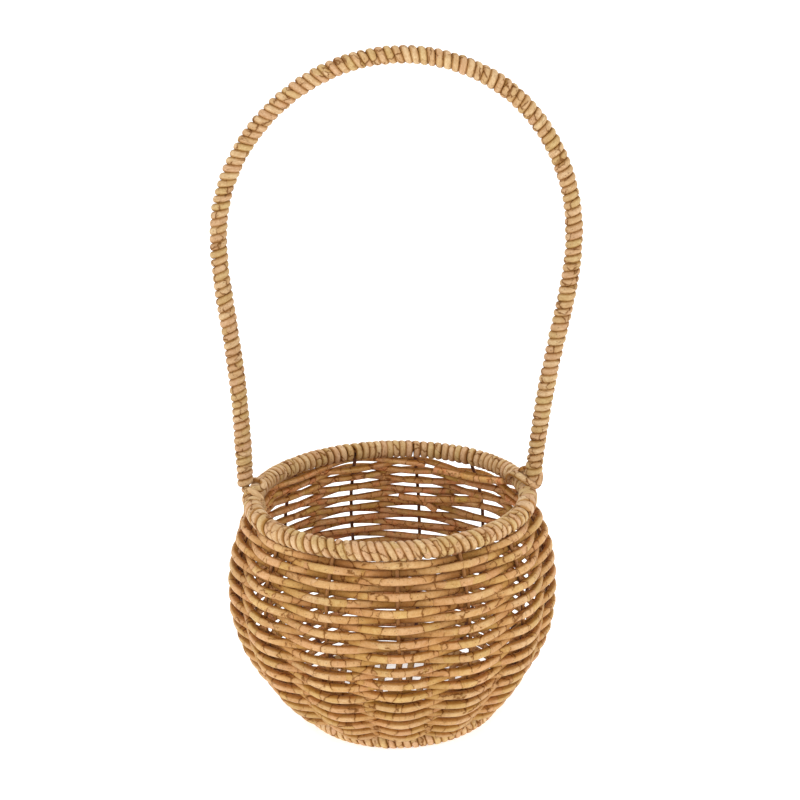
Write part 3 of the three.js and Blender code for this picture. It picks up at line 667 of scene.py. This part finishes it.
# painted shade: tint y darkens the legs of the handle, less towards the top of the arch
painted_leg_shade = lambda u: np.stack([0 * u, -0.55 + 0.50 * np.exp(-(((u / arch_s[-1] - 0.5) / 0.20) ** 2)), 0 * u], -1)
lean_at = lambda u: np.interp(u / arch_s[-1], [0, 0.06, 0.20, 0.30, 0.48, 0.53, 0.66, 0.80, 1.0], [0.1, 0.5, 0.6, 0.7, 0.8, 0.05, 0.05, 0.5, 0.3])
arr, P = wound(arch_centre, arch_out, arch_up, np.linspace(1.7, arch_s[-1] - 2.5, h_turns + 1), 3.02, 1.66, 2.08, 14, 51,
               samples=28, slant=lean_at, hand=1.0, loose=0.038, s0=2000.0, amp=0.020, twist=0.12, flat=0.0, flank=0.60,
               tint=painted_leg_shade, more=(0.25, -0.25))
piece("handle_winding", arr, WOUND, "handle_wrap")

# ------------------------------------------------------------------ wires


def wire(name, P, r, node, closed=False, hint=(0, 0, 1.0), sides=14, ends=(True, True)):
    # tint x marks the side facing away from hint for the wire's painted shade
    arr = tube_arrays(P, hint, r, r, sides, 7, closed=closed, amp=0.004, ends=ends, flat=0.0, tint=(1.0, 0.0, 0.0))
    return piece(name, arr, WIRE, node)


for k in range(13):
    pts = settle([polar(r, STAKES[k], z) for r, z in [(52.3, 8.0)] + STAKE_LINE[1:]])
    P = through(pts, step=1.6)
    sidev = np.array([-math.sin(STAKES[k]), math.cos(STAKES[k]), 0.0])
    P = P + sidev * (0.16 * wobble(along(P), 60 + k, ((47, 1), (19, 0.6))))[:, None]
    wire(f"upright_wire_{k + 1:02d}", P, WIRE_R, f"stake_{k + 1:02d}", hint=[math.cos(STAKES[k]), math.sin(STAKES[k]), -0.2])
th = np.linspace(0, TAU, 181)[:-1]
wire("rim_hoop_wire", polar(np.full(180, RIM_R), th, RIM_Z), HOOP_R, "rim_hoop", closed=True)
wire("base_hoop_wire", polar(np.full(180, BASE_R), th, BASE_Z) + [BASE_X - BOWL_X, 0, 0], HOOP_R, "base_hoop", closed=True)
foot = lambda x: [BOWL_X + x, HANDLE_Y, 119.6]
wire("handle_rod", np.vstack([[foot(HANDLE_LINE[0][0])], arch[::6], arch[-1:], [foot(HANDLE_LINE[-1][0])]]), 1.35, "handle_core", hint=(0, -1.0, 0))

# ------------------------------------------------------------------ the floor
FLOOR_WIRES = (41, 17, -7, -31)
FLOOR_OUT, FLOOR_EDGE, FLOOR_EDGE_ABOVE, FLOOR_ROWS, FLOOR_FIRST, FLOOR_SLANT = 2.85, 46.2, 48.6, 12, -43.3, 0.122
FLOOR_PITCH, FLOOR_TURN = 7.92, ((0.07, 2.01), (0.27, 3.52), (0.73, 3.52), (0.93, 2.01))


def floor_turn(row, sign):
    """Where two rows of the floor join, at the back (1) or the front (-1): y, level and the wire that is near, if any."""
    def reach(edge):
        far = []
        for across, beyond in ((0, 0), *FLOOR_TURN, (1, 0)):
            c = FLOOR_FIRST + (row + across) * FLOOR_PITCH
            q, b = 1 + FLOOR_SLANT**2, c * FLOOR_SLANT
            far.append((-sign * b + math.sqrt(b * b - q * (c * c - edge**2))) / q - beyond)
        return sign * min(far)

    y = reach(FLOOR_EDGE)
    near = [w for w in FLOOR_WIRES if abs(w - y - 2 * sign) < 6.6]
    if not near:
        return y, 0.0, None
    side = 1 if (FLOOR_WIRES.index(near[0]) + row) % 2 == 1 else -1
    return reach(FLOOR_EDGE_ABOVE if side > 0 else FLOOR_EDGE), side * FLOOR_OUT, near[0]


pts = []


def lay(row, y, level):
    pts.append((BASE_X + FLOOR_FIRST + row * FLOOR_PITCH + FLOOR_SLANT * y, y, FLOOR_Z + level))


for row in range(FLOOR_ROWS):
    sign = 1 if row % 2 == 1 else -1
    start, start_level, start_wire = floor_turn(max(row - 1, 0), -sign)
    end, end_level, end_wire = floor_turn(min(row, FLOOR_ROWS - 2), sign)
    lay(row, start, start_level)
    for y in FLOOR_WIRES[::-1] if sign > 0 else FLOOR_WIRES:
        side = FLOOR_OUT if (FLOOR_WIRES.index(y) + row) % 2 == 1 else -FLOOR_OUT
        since, to = sign * (y - start), sign * (end - y)
        if y == start_wire:
            lay(row, start + sign * max(since + 2.5, 3), start_level)
        elif y == end_wire:
            lay(row, end - sign * max(to + 2.5, 3), end_level)
        elif since > 4.5 and to > 4.5:
            lay(row, y, side)
    lay(row, end, end_level)
    if row < FLOOR_ROWS - 1:
        for across, beyond in FLOOR_TURN:
            lay(row + across, end + sign * beyond, end_level)
pts = np.array(pts) + gen.normal(0, 0.06, (len(pts), 3))
P = through(pts, step=1.15)
T = unit(np.gradient(P, axis=0))
hint = [np.array([0.0, 0.0, 1.0])]
for tt in T[1:]:  # carries the section along without turning it
    h = hint[-1] - (hint[-1] @ tt) * tt
    hint.append(h / np.linalg.norm(h))
arr = tube_arrays(P, np.array(hint), 1.86, 1.90, 14, 71, s0=5000.0, tint=(0.0, 0.0, 0.0), twist=0.05)
piece("floor_strand", arr, WALL, "floor_cord")
for k, y in enumerate(FLOOR_WIRES):
    half = math.sqrt(51.0**2 - y * y)
    x = np.linspace(-half, half, 50)
    wire(f"floor_cross_wire_{k + 1}", np.stack([BASE_X + x, np.full(50, float(y)), np.full(50, FLOOR_Z)], 1), WIRE_R, f"floor_wire_{k + 1}")

# ------------------------------------------------------------------ lashings at the handle's feet


def lashing(name, foot_x, node, seed, ties):
    """The turns that bind a foot of the handle to the rim, thinner beside the foot, and the cord tied over them."""
    c = math.atan2(HANDLE_Y, foot_x)
    marks = np.linspace((c - LASH + 0.012) * RIM_R, (c + LASH - 0.012) * RIM_R, 5)
    near = lambda u: np.exp(-(((u - c * RIM_R) / 4.5) ** 2))
    turns, _ = wound(centre, out, up, marks, lambda u: RIM_RHO + 0.10 - 0.45 * near(u), lambda u: 1.74 - 0.35 * near(u), 2.25, 14, seed,
                     samples=30, slant=-0.6, face=0.6, hand=-1.0, s0=seed * 31.0, amp=0.02, twist=0.12)
    parts = [turns]
    middle = np.array([BOWL_X + RIM_R * math.cos(c), RIM_R * math.sin(c), RIM_Z])
    for k, pts in enumerate(ties):
        P = through(np.array(pts, float), step=0.9)
        parts.append(tube_arrays(P, P - middle, 1.70, 1.88, 14, seed + 7 + k, s0=seed * 50.0 + 90 * k, amp=0.022, twist=0.12))
    return piece(name, join(parts), WOUND, node)


lashing("lashing_cord_left", HANDLE_LINE[0][0], "lashing_left", 81, [
    [(-86.0, 6.9, 131.2), (-82.4, 7.0, 131.9), (-78.0, 5.4, 132.3), (-75.5, 2.6, 131.3), (-77.0, -0.4, 130.0), (-80.6, -2.2, 130.3),
     (-83.8, -2.8, 128.4), (-85.2, -2.6, 124.8), (-84.6, -1.6, 121.0)],
    [(-85.2, 5.2, 129.6), (-85.8, 2.2, 129.0), (-85.0, -0.6, 129.4), (-82.8, -3.6, 130.2), (-79.2, -6.0, 129.2), (-76.4, -7.6, 126.2), (-76.0, -8.2, 122.0)],
])
lashing("lashing_cord_right", HANDLE_LINE[-1][0], "lashing_right", 82, [
    [(67.2, 16.0, 128.4), (65.2, 12.8, 131.4), (66.0, 10.0, 133.4), (69.5, 8.8, 134.2), (72.6, 6.8, 133.9), (74.1, 3.6, 133.4),
     (73.8, 0.4, 130.8), (71.8, -2.0, 128.2), (69.0, -2.2, 129.2),
     (65.6, 0.6, 131.0), (62.4, 6.8, 131.2), (60.2, 14.0, 129.6), (58.6, 20.0, 125.6), (59.0, 22.5, 122.0)],
    [(73.2, 4.6, 129.4), (71.0, 6.5, 129.7), (68.0, 5.0, 130.4), (67.4, 2.2, 130.6), (69.6, 0.4, 129.6), (72.4, 1.2, 128.8)],
])

# ------------------------------------------------------------------ floor, light and camera
me = bpy.data.meshes.new("ground")
me.from_pydata([(-6, -6, 0), (6, -6, 0), (6, 6, 0), (-6, 6, 0)], [], [(0, 1, 2, 3)])
ground = bpy.data.objects.new("ground", me)
bpy.context.scene.collection.objects.link(ground)
t = Tree("pale_ground")
bsdf = t.node("ShaderNodeBsdfPrincipled", {"Base Color": rgb(0.76, 0.76, 0.76), "Roughness": 0.9})
bsdf.inputs["Emission Color"].default_value = (1, 1, 1, 1)  # like a table lit from below, so the shadow stays light
bsdf.inputs["Emission Strength"].default_value = 0.60
bsdf.inputs["Specular IOR Level"].default_value = 0.1
out = t.node("ShaderNodeOutputMaterial")
t.nt.links.new(bsdf.outputs[0], out.inputs["Surface"])
me.materials.append(t.mat)

world = bpy.data.worlds.new("studio")
bpy.context.scene.world = world
world.use_nodes = True
bg = world.node_tree.nodes["Background"]
bg.inputs[0].default_value = (1, 1, 1, 1)
bg.inputs[1].default_value = 1.06


def area(name, loc, target, size, power):
    light = bpy.data.lights.new(name, "AREA")
    light.shape = "DISK"
    light.size = size
    light.energy = power
    ob = bpy.data.objects.new(name, light)
    bpy.context.scene.collection.objects.link(ob)
    ob.location = loc
    ob.rotation_euler = (Vector(target) - Vector(loc)).to_track_quat("-Z", "Y").to_euler()
    return ob


area("key", (-0.45, -1.15, 1.15), (0, 0, 0.12), 0.9, 1.6)
area("front", (0.10, -1.45, 0.30), (0, 0, 0.08), 1.0, 0.3)
area("low", (0.0, -0.75, 0.05), (0, 0, 0.04), 0.5, 0.7)
area("left", (-1.30, -0.45, 0.40), (0, 0, 0.09), 0.8, 4.5)
area("right", (1.30, -0.45, 0.40), (0, 0, 0.09), 0.8, 4.4)
area("top", (0.05, 0.35, 1.5), (0, 0, 0.12), 0.9, 3.0)

cam = bpy.data.cameras.new("camera")
cam.sensor_fit = "HORIZONTAL"
cam.sensor_width = 36.0
cam.lens = 36.0 * 1599.65 / 800.0
cam.clip_start, cam.clip_end = 0.01, 50.0
camera = bpy.data.objects.new("camera", cam)
bpy.context.scene.collection.objects.link(camera)
elev, roll = math.radians(18.36), math.radians(1.48)
fwd = Vector((0, math.cos(elev), -math.sin(elev)))
right, upv = Vector((1, 0, 0)), Vector((0, math.sin(elev), math.cos(elev)))
cx = right * math.cos(roll) - upv * math.sin(roll)
cy = right * math.sin(roll) + upv * math.cos(roll)
m = Matrix.Identity(4)
for i in range(3):
    m[i][0], m[i][1], m[i][2] = cx[i], cy[i], -fwd[i]
m.translation = Vector((-0.44, 0.0, 178.3)) * MM - fwd * 0.850
camera.matrix_world = m
bpy.context.scene.camera = camera

bpy.context.scene.view_settings.view_transform = "Standard"
bpy.context.scene.view_settings.look = "None"
